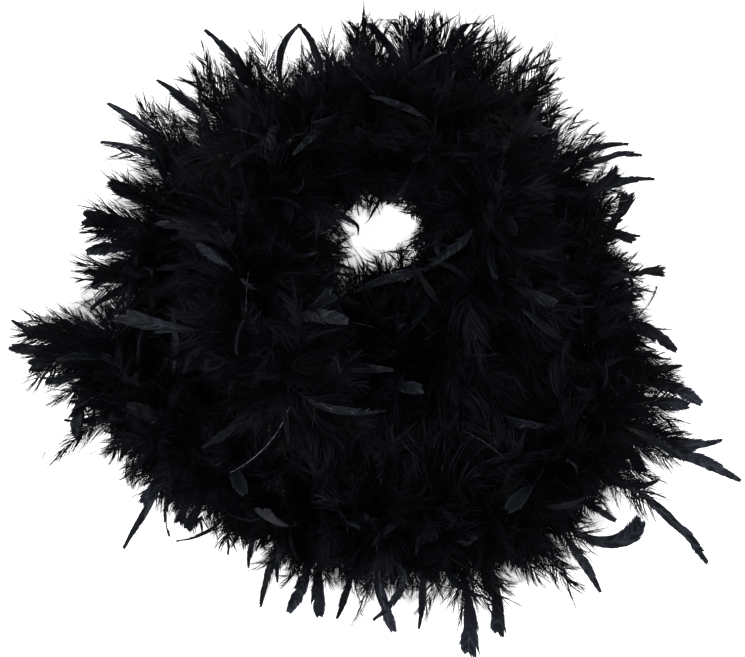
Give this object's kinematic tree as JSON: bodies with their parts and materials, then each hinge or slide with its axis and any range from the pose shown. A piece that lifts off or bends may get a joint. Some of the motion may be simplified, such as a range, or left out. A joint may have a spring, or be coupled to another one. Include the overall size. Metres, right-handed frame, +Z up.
{
  "type": "feather boa",
  "caption": "Thick feather boa of curved flats and down tied along a twine, lying in a loose coil with free ends that bend.",
  "frame": {"origin": "middle of the coiled boa's footprint, on the surface it lies on", "axes": "+Z up; +X across the widest way of the coil; the outer free end lies at -X"},
  "size_m": [0.5783, 0.5125, 0.1946],
  "materials": {
    "down": "dyed black down, matt and wispy",
    "flats": "dyed black feather vane, satin with a blue sheen",
    "twine": "black two-ply cotton twine",
    "thread": "black polyester thread"
  },
  "bodies": {
    "coil": {"down_04": "down", "flats_04": "flats", "down_05": "down", "flats_05": "flats", "down_06": "down", "flats_06": "flats", "down_07": "down", "flats_07": "flats", "down_08": "down", "flats_08": "flats", "down_09": "down", "flats_09": "flats", "down_10": "down", "flats_10": "flats", "down_11": "down", "flats_11": "flats", "down_12": "down", "flats_12": "flats", "down_13": "down", "flats_13": "flats", "down_14": "down", "flats_14": "flats", "core_twine_coil": "twine", "lock_stitches_coil": "thread"},
    "tail_1": {"down_03": "down", "flats_03": "flats", "core_twine_tail_1": "twine", "lock_stitches_tail_1": "thread"},
    "tail_2": {"down_02": "down", "flats_02": "flats", "core_twine_tail_2": "twine", "lock_stitches_tail_2": "thread"},
    "tail_3": {"down_01": "down", "flats_01": "flats", "core_twine_tail_3": "twine", "lock_stitches_tail_3": "thread", "end_whipping_outer": "thread", "end_knot_outer": "twine"},
    "head_1": {"down_15": "down", "flats_15": "flats", "core_twine_head_1": "twine", "lock_stitches_head_1": "thread"},
    "head_2": {"down_16": "down", "flats_16": "flats", "core_twine_head_2": "twine", "lock_stitches_head_2": "thread", "end_whipping_inner": "thread", "end_knot_inner": "twine"}
  },
  "joints": [
    {"name": "tail_1_swing", "type": "hinge", "parent": "coil", "child": "tail_1", "pos_m": [0.07043, -0.15009, 0.03], "axis": [0, 0, 1], "range_deg": [0, 25]},
    {"name": "tail_2_swing", "type": "hinge", "parent": "tail_1", "child": "tail_2", "pos_m": [-0.04085, -0.14885, 0.03], "axis": [0, 0, 1], "range_deg": [0, 25]},
    {"name": "tail_3_swing", "type": "hinge", "parent": "tail_2", "child": "tail_3", "pos_m": [-0.13837, -0.09422, 0.03], "axis": [0, 0, 1], "range_deg": [0, 25]},
    {"name": "head_1_lift", "type": "hinge", "parent": "coil", "child": "head_1", "pos_m": [-0.05241, 0.14115, 0.101], "axis": [-0.6124, 0.7906, 0], "range_deg": [0, 30]},
    {"name": "head_2_lift", "type": "hinge", "parent": "head_1", "child": "head_2", "pos_m": [-0.09504, 0.04047, 0.101], "axis": [-0.9974, 0.0725, 0], "range_deg": [0, 30]}
  ]
}
